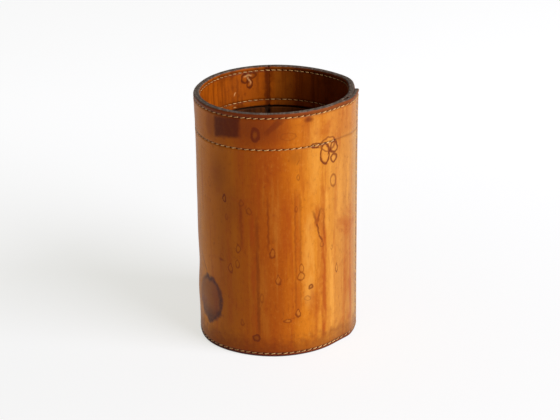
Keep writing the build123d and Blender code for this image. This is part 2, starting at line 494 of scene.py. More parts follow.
wall = {
    # colours across the front, from the left side to the lap: millimetres from the front's middle; the
    # lighter tan at -50 and the paler, greyer tones from 46 on are painted sheen at the sides
    "across": (
        (-80, (0.42, 0.115, 0.006)),
        # painted sheen: this lighter tan, where the wall turns away at the left
        (-50, (0.60, 0.200, 0.010)),
        (-40, (0.47, 0.128, 0.0035)),
        (-31, (0.365, 0.092, 0.0010)),
        (-22, (0.355, 0.084, 0.0006)),
        (-12, (0.315, 0.063, 0.0004)),
        (0, (0.345, 0.068, 0.0006)),
        (8, (0.44, 0.108, 0.0020)),
        (16, (0.51, 0.148, 0.006)),
        (25, (0.52, 0.182, 0.015)),
        (35, (0.48, 0.178, 0.022)),
        # painted sheen: these paler, greyer tones, where the wall turns away at the right
        (46, (0.43, 0.168, 0.034)),
        (58, (0.42, 0.205, 0.055)),
    ),
    "back": (0.40, 0.105, 0.006),
    # the flesh side: partly its glued, dirty leather and partly painted shade, dark for the narrow gaps
    # between layers where it shows
    "inside": (0.055, 0.022, 0.011),
    "rust": (0.30, 0.042, 0.0010),
    "straw": (0.66, 0.290, 0.050),
    "honey": (0.42, 0.120, 0.0025),
    # burnished edges: grey-brown, partly their own colour and partly painted sheen
    "edge": (0.080, 0.054, 0.042),
    "edgeRubbedAndSheen": (0.21, 0.160, 0.125),
    "stain": (0.125, 0.016, 0.001),
    # the spill's dark purple, and the painted shade along the wall's foot
    "bruiseAndFootShade": (0.040, 0.014, 0.016),
    # painted shade of the stitch holes and of the thread's groove
    "hole": (0.040, 0.011, 0.003),
    "patch": (0.078, 0.0085, 0.0012),
    "plum": (0.125, 0.032, 0.022),
    "waviness": 0.12,
    "underLap": 14.0,  # the sheet's start, hidden by the lap, isn't pressed by thread
    "groove": 0.2,  # how far thread is pulled into the leather
    "swell": 0.08,  # beside the groove
    "pit": 0.3,  # at each hole
    "seamGroove": 0.16,
    "flapLift": 0.55,  # the flap's top corner stands off
    "holeReach": 0.6,
    "seamHoleReach": 0.7,
    "wander": 2.2,  # how far the marks stray from their plain outlines
    "runWander": 1.8,
    "patchPlace": (-25.9, 135.3),  # the dark patch under the rim
    "patchEdge": ((9.4, 6.4), (7.2, 4.4)),  # where it has faded out, and where it is full
    "patchTilt": 0.12,
    "spillPlace": (-44.2, 27.4),
    "spillScale": (0.086, 0.074),  # one over its half width and half height
    "bump": 0.04,
    "gloss": {
        "Specular IOR Level": 0.08,
        "Sheen Weight": 0.3,
        "Sheen Roughness": 0.25,
        "Sheen Tint": (1.0, 0.93, 0.84, 1.0),
    },
    # places are millimetres right of the front's middle, then up
    "rings": (
        (-9.8, 129.6, 2.1, 3.1, 1.4, 1.0, 0),
        (-28.6, 91.6, 1.0, 1.9, 0.7, 0.95, 0),
        (29.2, 115.6, 3.0, 5.7, 1.0, 0.95, 0),
        (35.6, 117.6, 2.8, 3.0, 0.9, 0.9, 0),
        (35.5, 111.6, 2.4, 2.2, 0.85, 0.9, 0),
        (31.4, 120.4, 5.2, 3.7, 0.8, 0.7, 0),
        (23.0, 121.4, 2.4, 1.2, 0.8, 0.85, 0),
        (12.5, 105.2, 0.9, 1.6, 0.55, 0.5, 0.4),
        (35.0, 98.8, 2.1, 3.3, 0.8, 0.6, 0),
        (7.5, 128.4, 4.2, 1.8, 0.7, 0.25, 0),
        (11.4, 87.2, 0.9, 1.5, 0.5, 0.45, 0.4),
        (-18.3, 90.7, 1.4, 1.7, 0.6, 0.4, 0.3),
        (-14.1, 86.5, 1.2, 1.8, 0.6, 0.45, 0.3),
        (-27.6, 81.0, 1.0, 1.6, 0.5, 0.35, 0.3),
        (-20.8, 63.8, 1.3, 2.4, 0.65, 0.6, 0.4),
        (-21.4, 54.6, 1.2, 2.3, 0.6, 0.55, 0.4),
        (-25.8, 51.4, 1.4, 2.6, 0.65, 0.6, 0.4),
        (-2.0, 62.6, 1.6, 2.9, 0.65, 0.65, 0.45),
        (1.1, 46.9, 1.5, 2.7, 0.55, 0.6, 0.55),
        (13.8, 52.6, 1.5, 2.6, 0.55, 0.55, 0.2),
        (13.7, 47.6, 1.8, 2.3, 0.6, 0.6, 0),
        (19.4, 40.3, 1.3, 1.2, 0.9, 0.8, 0),
        (37.9, 46.8, 0.9, 2.7, 0.6, 0.85, 0.3),
        (26.7, 64.0, 1.2, 1.6, 0.5, 0.5, 0.2),
        (34.2, 60.0, 0.8, 1.3, 0.5, 0.4, 0.2),
        (-19.4, 19.7, 1.1, 1.8, 0.6, 0.5, 0.4),
        (12.0, 25.8, 1.4, 2.4, 0.65, 0.7, 0.45),
        (5.8, 21.7, 2.0, 1.0, 0.6, 0.55, 0),
        (-11.4, 11.3, 1.8, 2.0, 0.8, 0.85, 0),
        (-8.0, 36.0, 1.0, 2.7, 0.55, 0.4, 0.2),
        (17.5, 33.9, 1.8, 1.4, 0.55, 0.35, 0),
        (-40.0, 98.0, 1.4, 2.4, 0.5, 0.25, 0.3),
        (62.0, 72.0, 1.2, 2.2, 0.5, 0.4, 0.3),
        (-92.0, 64.0, 1.5, 2.6, 0.6, 0.5, 0.4),
        (-118.0, 88.0, 1.2, 2.0, 0.55, 0.45, 0.4),
        (-160.0, 40.0, 1.4, 2.5, 0.6, 0.5, 0.4),
    ),
    "spots": (
        (-37.2, 131.0, 4.2, 6.5, 0.4, 0.32),
        (-8.0, 132.5, 13.0, 8.5, 0.8, 0.6),
        (19.0, 136.3, 2.6, 1.3, 0.6, 0.8),
        (11.0, 116.8, 3.6, 3.6, 0.8, 0.3),
        (-11.4, 11.3, 1.6, 1.7, 0.7, 0.4),
        (-32.2, 54.8, 1.9, 0.9, 0.7, 0.6),
        (-33.0, 104.0, 5.0, 9.0, 0.9, 0.3),
        (-24.0, 88.0, 6.0, 10.0, 0.9, 0.2),
        (-140.0, 72.0, 5.0, 9.0, 0.8, 0.3),
    ),
    "strokes": (
        (4.6, 138.4, -5.6, 129.2, 3.6, 0.8),
        (-54.0, 53.0, -46.0, 41.5, 0.9, 0.5),
        (20.9, 85.0, 23.4, 76.6, 1.2, 0.5),
        (26.1, 85.2, 23.7, 76.8, 1.2, 0.6),
        (23.4, 77.4, 24.8, 69.5, 0.9, 0.8),
        (24.6, 70.5, 27.0, 65.6, 0.9, 0.8),
        (28.2, 85.0, 28.2, 67.0, 0.8, 0.4),
        (20.6, 120.9, 25.6, 119.6, 0.7, 0.8),
        (31.0, 114.4, 33.4, 117.6, 0.8, 0.75),
        (12.0, 112.4, 13.0, 114.6, 0.7, 0.5),
        (5.8, 22.3, 11.0, 23.6, 0.5, 0.4),
    ),
    "runs": (
        (-9.9, 86, 10, 1.4, 0.46),
        (-3.9, 98, 60, 0.8, 0.45),
        (-18.7, 92, 62, 1.3, 0.35),
        (10.6, 98, 24, 0.9, 0.28),
        (13.6, 98, 28, 0.9, 0.28),
    ),
    "rustBands": (
        (-12.2, 88, 8, 2.6, 0.6),
        (-18.6, 92, 60, 2.4, 0.5),
        (11.8, 100, 20, 2.8, 0.45),
        (23.6, 88, 74, 2.4, 0.6),
        (28.3, 76, 4, 2.4, 0.75),
        (46.5, 78, 22, 3.4, 0.35),
        (6.2, 96, 60, 5.0, 0.45),
        (-27.0, 80, 12, 3.0, 0.35),
        (21.0, 44, 2, 3.2, 0.4),
        (50.0, 40, 8, 3.5, 0.5),
        (-100.0, 120, 20, 5.0, 0.4),
        (-150.0, 110, 10, 7.0, 0.4),
    ),
    "strawBands": (
        (18.3, 84, 28, 4.6, 0.55),
        (34.1, 66, 10, 2.8, 0.6),
        (30.4, 98, 70, 2.0, 0.5),
        (-6.4, 60, 6, 3.4, 0.25),
        (40.0, 112, 74, 4.0, 0.35),
        (22.0, 134, 92, 5.0, 0.3),
    ),
}


def nearestHole(turn, turns):
    # millimetres round the wall from the nearest hole of a row
    step = (turns[-1] - turns[0]) / (len(turns) - 1)
    past = (turn - turns[0]) / step
    past = max(0, min(len(turns) - 1, past))
    return (past - round(past)) * step * outerRadius


def pressedRow(height, row, toHole, depth=1.0):
    # thread pulled down into the leather, with a pit at each hole and a slight swell beside it
    near = (height - row) ** 2
    swell = wall["swell"] * exp(-((abs(height - row) - 1.3) ** 2) / 0.3)
    groove = -wall["groove"] * exp(-near / 0.3) + swell
    pit = -wall["pit"] * exp(-near / 0.16) * exp(-(toHole**2) / 0.25)
    return depth * (groove + pit)


def wallRelief(along, height, outer):
    if not outer:
        return 0
    place = Vector((along * 0.045, height * 0.03, 3.1))
    rise = wall["waviness"] * (noise.noise(place) + 0.5 * noise.noise(place * 2.7))
    point, out = wallPath(along)
    turn = atan2(point.y, point.x) % (2 * pi)
    if along > wall["underLap"]:
        if height > rimRowZ - 3 or height < baseRowZ + 3:
            toHole = nearestHole(turn + 2 * pi, fullRow)
            rise += pressedRow(height, rimRowZ, toHole) + pressedRow(height, baseRowZ, toHole)
        if abs(height - collarRowZ) < 3:
            toHole = nearestHole(turn + 2 * pi, collarRow)
            rise += pressedRow(height, collarRowZ, toHole, 0.35 if turn > rampStart else 1)
    if along > lapStart:
        across = (turn - seamTurn - 2 * pi) * lapRadius
        rise -= wall["seamGroove"] * exp(-(across**2) / 0.35)
        toEnd = sheetLength - along
        rise += wall["flapLift"] * exp(-toEnd / 2.2) * exp(-(cupHeight - height) / 2.5)
    return rise


# where the wall's mesh has its columns: five to a stitch, and closer at the cut ends
wallMarks = [alongAt(turn - 2 * pi) for turn in fullRow]
wallStations = [0, 0.1, 0.25, 0.5]
while wallStations[-1] < wallMarks[0] - 1.5:
    wallStations.append(wallStations[-1] + 1.4)
for start, end in zip(wallMarks, wallMarks[1:]):
    wallStations += [start + (end - start) * step / 5 for step in range(5)]
wallStations += [sheetLength - step for step in (2.6, 2.0, 1.4, 1.0, 0.75, 0.5, 0.25, 0.1, 0)]
wallFront = (1.5 * pi - innerEnd) * middleRadius
wallLevels = levelsBetween(0.5, cupHeight - 0.5, rowsZ, 4.2)
wallCorners = (cup["edgeRound"], cup["edgeInside"])
wallLoop = sectionLoop(0, cupHeight, cup["thickness"], wallCorners, wallLevels)


def wallLeather():
    graph = Graph("waxedTanLeather")
    x, z = graph.sheet()
    side = graph.side()
    flat = graph.point(x, z)
    # broad upright bands, streaks and fibres
    bands = graph.noise(graph.point(x * 0.05, z * 0.010, 1.7), 1.0, 3.0)
    streaks = graph.noise(graph.point(x * 0.2, z * 0.012, 9.2), 1.0, 4.0, 0.6, 0.3)
    fibres = graph.noise(graph.point(x * 1.3, z * 0.11), 1.0, 4.0, 0.65)
    mottle = graph.noise(graph.point(x * 0.46, z * 0.28), 1.0, 5.0, 0.75)
    blotches = graph.noise(flat, 0.05, 4.0, 0.6, 0.4)
    first, last = wall["across"][0][0], wall["across"][-1][0]
    stops = [((place - first) / (last - first), (*tone, 1)) for place, tone in wall["across"]]
    spread = (x + (bands - 0.5) * 16 - first) * (1 / (last - first))
    colour = graph.add("ShaderNodeValToRGB", {"stops": stops}, {0: spread})
    colour = graph.mix(wall["back"], colour, graph.rise(x, first - 40, first))
    straw = graph.mix(wall["honey"], wall["straw"], graph.rise(x, -20, 26))
    colour = graph.mix(colour, straw, graph.rise(streaks, 0.52, 0.74, 0.32))
    colour = graph.mix(colour, wall["rust"], graph.rise(streaks, 0.50, 0.28, 0.5))
    colour = graph.mix(colour, wall["rust"], graph.rise(blotches, 0.46, 0.30, 0.4))
    colour = graph.mix(colour, wall["rust"], graph.rise(z, 119, 126, 0.24))
    colour = graph.mix(colour, straw, graph.rise(mottle, 0.52, 0.70, 0.26))
    colour = graph.mix(colour, wall["stain"], graph.rise(mottle, 0.47, 0.30, 0.34))
    colour = graph.mix(colour, wall["stain"], graph.rise(fibres, 0.53, 0.80, 0.34))
    # marks, on slightly wandering coordinates
    wander = graph.noise(flat, 0.28, 2.0)
    wanderUp = graph.noise(graph.point(z, x), 0.28, 2.0)
    markX = x + (wander - 0.5) * wall["wander"]
    markZ = z + (wanderUp - 0.5) * wall["wander"]
    mark = graph.point(markX, markZ, 1.0)
    drift = graph.point(x + (wander - 0.5) * wall["runWander"], z, 1.0)
    uneven = graph.rise(mottle, 0.2, 0.6)
    broken = graph.rise(graph.noise(graph.point(x * 0.3, z * 0.07, 3.3), 1.0, 3.0, 0.6), 0.25, 0.6)
    rings, insideTintAndHighlight = ringMask(graph, mark, wall["rings"])
    spots = spotMask(graph, mark, wall["spots"]).over(strokeMask(graph, mark, wall["strokes"]))
    runs = streakMask(graph, drift, wall["runs"])
    colour = graph.mix(colour, straw, streakMask(graph, drift, wall["strawBands"]) * side * broken)
    colour = graph.mix(colour, wall["rust"], streakMask(graph, drift, wall["rustBands"]) * side * broken)
    colour = graph.mix(colour, wall["stain"], runs * side * (broken * 0.4 + 0.6))
    # paler inside the larger drop marks: partly paler leather, partly painted highlight
    colour = graph.mix(colour, straw, insideTintAndHighlight * side * 0.3)
    colour = graph.mix(colour, wall["stain"], spots * side * (0.75 + uneven * 0.25))
    patchX, patchZ = wall["patchPlace"]
    patchSides, patchEnds = wall["patchEdge"]
    patch = graph.rise(abs(markX - patchX), *patchSides)
    patch = patch * graph.rise(abs(markZ - markX * wall["patchTilt"] - patchZ), *patchEnds)
    colour = graph.mix(colour, wall["patch"], patch * side * (0.72 + uneven * 0.18))
    colour = graph.mix(colour, wall["stain"], rings * side * (0.8 + uneven * 0.2))
    # the old spill low on the left: plum inside, nearly black along its right and its bottom
    spillX = markX + (mottle - 0.5) * 6 - wall["spillPlace"][0]
    spillZ = markZ + (streaks - 0.5) * 8 - wall["spillPlace"][1]
    spill = (spillX * wall["spillScale"][0]) ** 2 + (spillZ * wall["spillScale"][1]) ** 2
    spillRim = graph.rise(abs(spill - 0.88), 0.38, 0.0, 0.85) * graph.rise(markX, -54.0, -46.0)
    colour = graph.mix(colour, wall["plum"], graph.rise(spill, 1.25, 0.7, 0.55) * side)
    spillLow = graph.rise(spill, 1.2, 0.6) * graph.rise(markZ, 26, 15, 0.7)
    colour = graph.mix(colour, wall["bruiseAndFootShade"], spillRim.over(spillLow) * (0.35 + uneven * 0.65) * side)
    # darker beside the stitches and towards the foot; painted shade in the thread's groove and at each hole
    colour = graph.mix(colour, wall["stain"], graph.rise(z + (wander - 0.5) * 14, 15, 4, 0.54))
    nearRim = graph.rise(z, rimRowZ - 1.8, rimRowZ + 0.8, 0.8)
    nearBase = graph.rise(z, baseRowZ + 1.8, baseRowZ - 0.4, 0.8)
    nearCollar = besideLine(graph, z, collarRowZ, 1.5, 0.3, 0.2)
    rowEnd = (rampStart - 1.5 * pi) * outerRadius
    pastCollarRow = graph.rise(x, rowEnd, rowEnd + 3)
    # painted shade: a thin dark line in each row's groove, under and between the stitches
    grooveShadeWidths = (0.45, 0.1, 0.7)
    grooveShade = besideLine(graph, z, collarRowZ, *grooveShadeWidths) * (1 - pastCollarRow * 0.6)
    for row in (rimRowZ, baseRowZ):
        grooveShade = grooveShade.over(besideLine(graph, z, row, *grooveShadeWidths))
    pitch = (fullRow[1] - fullRow[0]) * outerRadius
    collarPitch = (collarRow[1] - collarRow[0]) * outerRadius
    start = (wallMarks[0] - wallFront) * outerRadius / middleRadius
    reach = wall["holeReach"]
    holes = holeMask(graph, x, z, rimRowZ, start, pitch, reach)
    holes = holes.over(holeMask(graph, x, z, baseRowZ, start, pitch, reach))
    collarHoles = holeMask(graph, x, z, collarRowZ, start, collarPitch, reach)
    holes = holes.over(collarHoles * (1 - pastCollarRow))
    seamX = (seamTurn + 0.5 * pi) * (outerRadius + cup["lapStep"] / 2)
    seam = graph.rise(abs(x - seamX), 1.6, 0.2, 0.65)
    seamFirst, seamPitch = baseRowZ + cup["stitchPitch"], cup["stitchPitch"]
    holes = holes.over(holeMask(graph, z, x, seamX, seamFirst, seamPitch, wall["seamHoleReach"]))
    colour = graph.mix(colour, wall["stain"], nearRim.over(nearBase).over(nearCollar).over(seam * side))
    colour = graph.mix(colour, wall["hole"], grooveShade * 0.7)
    colour = graph.mix(colour, wall["hole"], holes * side * 0.85)
    # the flesh side, dark partly as painted shade in the gaps where it shows, and the burnished cut edges,
    # whose grey is partly painted sheen
    colour = graph.mix(wall["inside"], colour, side)
    sheetEnd = (sheetLength - wallFront) * outerRadius / middleRadius
    wornZ = z + (wander - 0.5) * 0.4
    edges = graph.rise(wornZ, cupHeight - 0.4, cupHeight - 0.12)
    edges = edges.over(graph.rise(x, sheetEnd - 0.7, sheetEnd - 0.2))
    colour = graph.mix(colour, edgeWearAndSheen(graph, flat), edges)
    # darker along the foot of the outside: partly edge dye run on to the face, partly painted shade of the
    # rounded-over lower edge and its contact shadow
    colour = graph.mix(colour, wall["bruiseAndFootShade"], graph.rise(wornZ + x * 0.008, 1.5, 0.7, 0.9) * side)
    grain = graph.noise(flat, 3.2, 3.0, 0.6)
    pores = graph.rise(graph.cells(flat, 1.8), 0.0, 0.12)
    height = grain * 0.5 + pores * 0.3 + fibres * 0.6 + mottle * 0.8
    roughness = 0.36 + blotches * 0.16 + edges * 0.1 - rings * 0.05
    return graph.finish(colour, roughness, height, wall["bump"], wall["gloss"])


wallStretch = outerRadius / middleRadius  # the outside is longer than the sheet's middle
outerWall = makePanel(
    "outerWall", wallStations, wallLoop, cup["edgeRound"], wallPath, wallRelief, wallFront, wallStretch
)
settled(outerWall, "outer_wall", wallLeather())

# the collar inside the mouth, and the lining under it
collar = {
    "thickness": 1.5,
    "edgeRound": 0.72,
    "edgeOutside": 0.1,
    "endRound": 0.12,
    "joint": 93.5,  # where the two ends meet; they are cut to butt
    "gap": 0.06,
    "waviness": 0.08,
    "pressed": 0.7,  # how deep the thread lies, beside the wall's outside
    "wander": 2.4,
    "bump": 0.045,
    "specular": 0.08,
    "dark": (0.17, 0.030, 0.001),
    "warm": (0.36, 0.075, 0.002),
    "olive": (0.30, 0.082, 0.006),
    "stain": (0.085, 0.010, 0.001),
    # the T-shaped mark's pale strokes: partly paler leather, partly painted highlight
    "paleAndHighlight": (0.80, 0.42, 0.16),
    # places are millimetres right of the back's middle, seen through the mouth
    "rings": (
        (-16.8, 135.0, 2.0, 2.6, 0.9, 0.85, 0),
        (-12.0, 136.4, 2.0, 1.7, 0.8, 0.75, 0),
        (-13.6, 131.6, 1.6, 2.5, 0.8, 0.85, 0),
    ),
    "paleStrokesAndHighlights": (
        (-17.2, 136.0, -12.2, 136.4, 0.9, 0.5),
        (-15.0, 135.6, -13.0, 131.2, 0.8, 0.45),
        (-23.8, 125.8, -23.0, 127.4, 0.7, 0.6),
        (-24.4, 118.8, -22.6, 118.8, 0.5, 0.6),
    ),
    "runs": (
        (-3.2, 150, 108, 2.6, 0.75),
        (13.5, 150, 108, 2.4, 0.7),
        (18.0, 150, 108, 2.0, 0.5),
        (24.0, 150, 108, 3.5, 0.55),
        (-9.0, 150, 124, 1.4, 0.35),
        (-21.5, 140, 108, 1.2, 0.35),
        (-28.0, 136, 108, 1.6, 0.3),
    ),
}
collarLow, collarHigh = nodeBox("rim_collar")
bandOuter = (collarHigh.y - collarLow.y) / 2


def bandPath(joint, gap, radius):
    # a plain ring, from one side of its joint round to the other
    start = radians(joint) + gap / 2 / radius

    def path(along):
        out = facing(start + along / radius)
        return out * radius, out

    return path, start, 2 * pi * radius - gap


def bandStations(length, step):
    count = round(length / step)
    places = [length * index / count for index in range(1, count)]
    middle = [place for place in places if 0.5 < place < length - 0.5]
    return [0, 0.12, 0.28] + middle + [length - 0.28, length - 0.12, length]


collarRadius = bandOuter - collar["thickness"] / 2
collarPath, collarStart, collarLength = bandPath(collar["joint"], collar["gap"], collarRadius)


def collarRelief(along, height, outer):
    if outer:
        return 0
    turn = (collarStart + along / collarRadius) % (2 * pi)
    place = Vector((along * 0.05, height * 0.05, 7.7))
    rise = collar["waviness"] * noise.noise(place)
    past = turn if turn > outerEnd - 2 * pi else turn + 2 * pi
    rise -= pressedRow(height, rimRowZ, nearestHole(past + 2 * pi, fullRow), collar["pressed"])
    if past < rampStart:
        toHole = nearestHole(past + 2 * pi, collarRow)
        rise -= pressedRow(height, collarRowZ, toHole, collar["pressed"])
    return rise


def collarLeather():
    graph = Graph("collarLeather")
    x, z = graph.sheet()
    side = graph.side()
    flat = graph.point(x, z)
    half = pi * collarRadius
    backX = x.sign() * half - x
    bands = graph.noise(graph.point(x * 0.06, z * 0.012, 5.1), 1.0, 3.0)
    streaks = graph.noise(graph.point(x * 0.28, z * 0.02, 2.4), 1.0, 3.0, 0.6)
    fibres = graph.noise(graph.point(x * 1.4, z * 0.15), 1.0, 4.0, 0.65)
    mottle = graph.noise(graph.point(x * 0.42, z * 0.26), 1.0, 4.0, 0.7)
    blotches = graph.noise(flat, 0.09, 4.0, 0.6, 0.4)
    colour = graph.mix(collar["dark"], collar["warm"], graph.rise(bands * 0.5 + blotches * 0.5, 0.34, 0.54))
    colour = graph.mix(colour, collar["olive"], graph.rise(abs(backX - 6), 7, 4, 0.5))
    colour = graph.mix(colour, collar["dark"], graph.rise(streaks, 0.50, 0.3, 0.7))
    colour = graph.mix(colour, collar["stain"], graph.rise(fibres, 0.5, 0.8, 0.35))
    colour = graph.mix(colour, collar["stain"], graph.rise(mottle, 0.46, 0.28, 0.4))
    wander = graph.noise(flat, 0.35, 2.0)
    wanderUp = graph.noise(graph.point(z, x), 0.35, 2.0)
    markX = backX + (wander - 0.5) * collar["wander"]
    mark = graph.point(markX, z + (wanderUp - 0.5) * collar["wander"], 1.0)
    rings = ringMask(graph, mark, collar["rings"])[0]
    runs = streakMask(graph, mark, collar["runs"])
    # painted shade: right of the back's middle the collar is darkened, as the side away from the light
    shaded = graph.rise(backX, 0, 16, 0.5) * graph.rise(backX, 90, 50)
    colour = graph.mix(colour, collar["stain"], runs.over(shaded))
    colour = graph.mix(colour, collar["stain"], rings)
    # the T-shaped mark's pale strokes, partly painted highlight
    colour = graph.mix(colour, collar["paleAndHighlight"], strokeMask(graph, mark, collar["paleStrokesAndHighlights"]))
    nearRim = besideLine(graph, z, rimRowZ, 1.6, 0.3, 0.5)
    nearRows = nearRim.over(besideLine(graph, z, collarRowZ, 1.3, 0.2, 0.4))
    colour = graph.mix(colour, collar["stain"], nearRows)
    pitch = (fullRow[1] - fullRow[0]) * collarRadius
    collarPitch = (collarRow[1] - collarRow[0]) * collarRadius
    first = (fullRow[0] - 1.5 * pi) * collarRadius
    # painted shade at each stitch hole
    holes = holeMask(graph, x, z, rimRowZ, first, pitch, wall["holeReach"])
    holes = holes.over(holeMask(graph, x, z, collarRowZ, first, collarPitch, wall["holeReach"]))
    colour = graph.mix(colour, wall["hole"], holes * 0.8)
    # the collar's outside, against the wall, takes the dark flesh side, partly painted shade for the gap
    # where it shows at the rim
    colour = graph.mix(colour, wall["inside"], side)
    wornZ = z + (wander - 0.5) * 0.5
    edges = graph.rise(wornZ, cupHeight - 0.6, cupHeight - 0.25)
    edges = edges.over(graph.rise(z, collarLow.z + 0.6, collarLow.z + 0.2, 0.5))
    colour = graph.mix(colour, edgeWearAndSheen(graph, flat), edges)
    height = graph.noise(flat, 3.2, 3.0, 0.6) * 0.5 + fibres * 0.6 + mottle * 0.6
    roughness = 0.4 + blotches * 0.2 + edges * 0.1
    fixed = {"Specular IOR Level": collar["specular"]}
    return graph.finish(colour, roughness, height, collar["bump"], fixed)


collarLevels = levelsBetween(collarLow.z + 0.5, collarHigh.z - 0.5, (collarRowZ, rimRowZ), 3.0)
collarCorners = (collar["edgeOutside"], collar["edgeRound"])
collarLoop = sectionLoop(collarLow.z, collarHigh.z, collar["thickness"], collarCorners, collarLevels)
collarFront = (1.5 * pi - collarStart) * collarRadius
collarStations = bandStations(collarLength, 0.85)
rimCollar = makePanel(
    "rimCollar", collarStations, collarLoop, collar["endRound"], collarPath, collarRelief, collarFront, 1.0
)
settled(rimCollar, "rim_collar", collarLeather())

lining = {
    "thickness": 1.2,
    "edgeRound": 0.35,
    "joint": 95.0,
    "gap": 2.5,
    "waviness": 0.15,
    "bump": 0.06,
    "specular": 0.1,
    "dark": (0.045, 0.011, 0.002),
    "warm": (0.150, 0.038, 0.005),
    "worn": (0.17, 0.070, 0.022),
}
liningLow, liningHigh = nodeBox("wall_lining")
liningRadius = bandOuter - lining["thickness"] / 2
liningPath, liningStart, liningLength = bandPath(lining["joint"], lining["gap"], liningRadius)


def liningRelief(along, height, outer):
    if outer:
        return 0
    place = Vector((along * 0.06, height * 0.03, 11.3))
    return lining["waviness"] * (noise.noise(place) + noise.noise(place * 4) / 3)


def liningLeather():
    graph = Graph("darkLiningLeather")
    place = graph.solid()
    drawn = {0: place, 1: (0.25, 0.25, 0.03)}
    long = graph.add("ShaderNodeVectorMath", {"operation": "MULTIPLY"}, drawn)
    streaks = graph.noise(long, 1.0, 4.0, 0.6)
    blotches = graph.noise(place, 0.08, 4.0, 0.6, 0.5)
    scuffs = graph.noise(place, 0.9, 5.0, 0.75)
    colour = graph.mix(lining["dark"], lining["warm"], graph.rise(blotches * 0.5 + streaks * 0.5, 0.38, 0.6))
    colour = graph.mix(colour, lining["worn"], graph.rise(scuffs, 0.58, 0.78, 0.6))
    height = graph.noise(place, 2.6, 4.0, 0.7) * 0.7 + scuffs * 0.4
    fixed = {"Specular IOR Level": lining["specular"]}
    return graph.finish(colour, 0.55 + blotches * 0.2, height, lining["bump"], fixed)


liningLevels = levelsBetween(liningLow.z + 0.4, liningHigh.z - 0.4, (), 4.5)
liningCorners = (lining["edgeRound"], lining["edgeRound"])
liningLoop = sectionLoop(liningLow.z, liningHigh.z, lining["thickness"], liningCorners, liningLevels)
liningStations = bandStations(liningLength, 2.2)
liningMaterial = liningLeather()
liningFront = liningLength / 2
wallLining = makePanel(
    "wallLining", liningStations, liningLoop, lining["edgeRound"], liningPath, liningRelief, liningFront, 1.0
)
settled(wallLining, "wall_lining", liningMaterial)

# the base: a pan, a stiffening board and the floor's lining
base = {
    "thickness": 1.8,
    "bendRadius": 3.0,
    "dark": (0.15, 0.045, 0.012),
    "warm": (0.27, 0.10, 0.03),
    "board": (0.30, 0.18, 0.09),
    "boardPale": (0.40, 0.27, 0.15),
    "lip": 0.4,  # the bevel of the skirt's lower edge
    "boardEdge": 0.15,
    "floorEdge": 0.35,
    "around": 96,  # faces round a turned piece
    "bump": 0.05,
    "dome": 0.5,  # the floor's middle stands this much proud
}
panLow, panHigh = nodeBox("base_pan")
boardLow, boardHigh = nodeBox("floor_stiffener")
floorLow, floorHigh = nodeBox("floor_lining")


def spun(name, profile):
    # a profile turned about the cup's axis, then settled to the cup's shape
    bm = bmesh.new()
    verts = [bm.verts.new((radius, 0, level)) for radius, level in profile]
    edges = [bm.edges.new(pair) for pair in zip(verts, verts[1:])]
    turned = {"cent": (0, 0, 0), "axis": (0, 0, 1), "angle": 2 * pi, "steps": base["around"]}
    bmesh.ops.spin(bm, geom=verts + edges, use_merge=True, use_duplicate=False, **turned)
    bmesh.ops.remove_doubles(bm, verts=bm.verts, dist=sameSpot)
    bmesh.ops.recalc_face_normals(bm, faces=bm.faces)
    for vert in bm.verts:
        vert.co = settle(*vert.co)
    for face in bm.faces:
        face.smooth = True
    return finishMesh(bm, name)


def bend(centreX, centreZ, radius, steps=5):
    turns = [pi / 2 * step / steps for step in range(steps + 1)]
    return [(centreX + radius * cos(turn), centreZ + radius * sin(turn)) for turn in turns]


def panProfile():
    # up the skirt's outside, over the top to the axis, back under it and down the inside
    skirt = (panHigh.y - panLow.y) / 2
    within = skirt - base["thickness"]
    lip = base["lip"]
    centre = (skirt - base["bendRadius"], panHigh.z - base["bendRadius"])
    outside = bend(*centre, base["bendRadius"])
    inside = bend(*centre, base["bendRadius"] - base["thickness"])
    up = [(skirt, level) for level in (lip, 2.0, 3.5)]
    down = [(within, level) for level in (3.5, 2.0, lip)]
    foot = [(within + lip, 0), (skirt - lip, 0)]
    top = [(radius, panHigh.z) for radius in (30, 20, 10, 0)]
    under = [(radius, panHigh.z - base["thickness"]) for radius in (0, 10, 20, 30)]
    return up + outside + top + under + inside[::-1] + down + foot + up[:1]


def discProfile(low, high, radius, corner, dome):
    # from the middle of the underside, round the edge, to the middle of the top
    edge = [(radius - corner, low), (radius, low + corner), (radius, high - corner), (radius - corner, high)]
    shares = (0.85, 0.7, 0.5, 0.25, 0)
    over = [(radius * share, high + dome * (1 - share) ** 0.7) for share in shares]
    return [(0, low), (radius * 0.5, low)] + edge + over


def plainLeather(name, dark, warm, fibre):
    graph = Graph(name)
    place = graph.solid()
    blotches = graph.noise(place, 0.07, 4.0, 0.6, 0.5)
    fibres = graph.noise(place, fibre, 5.0, 0.75)
    pores = graph.rise(graph.cells(place, 1.5), 0.0, 0.1)
    colour = graph.mix(dark, warm, graph.rise(blotches * 0.6 + fibres * 0.4, 0.38, 0.62))
    height = fibres * 0.7 + pores * 0.4
    return graph.finish(colour, 0.5 + blotches * 0.25, height, base["bump"], {})


baseMaterial = plainLeather("mouldedBaseLeather", base["dark"], base["warm"], 1.2)
boardMaterial = plainLeather("pressedBoard", base["board"], base["boardPale"], 2.2)
discRadius = (boardHigh.y - boardLow.y) / 2
boardProfile = discProfile(boardLow.z, boardHigh.z, discRadius, base["boardEdge"], 0)
floorProfile = discProfile(floorLow.z, floorHigh.z, discRadius, base["floorEdge"], base["dome"])
settled(spun("basePan", panProfile()), "base_pan", baseMaterial)
settled(spun("floorBoard", boardProfile), "floor_stiffener", boardMaterial)
settled(spun("floorLining", floorProfile), "floor_lining", liningMaterial)

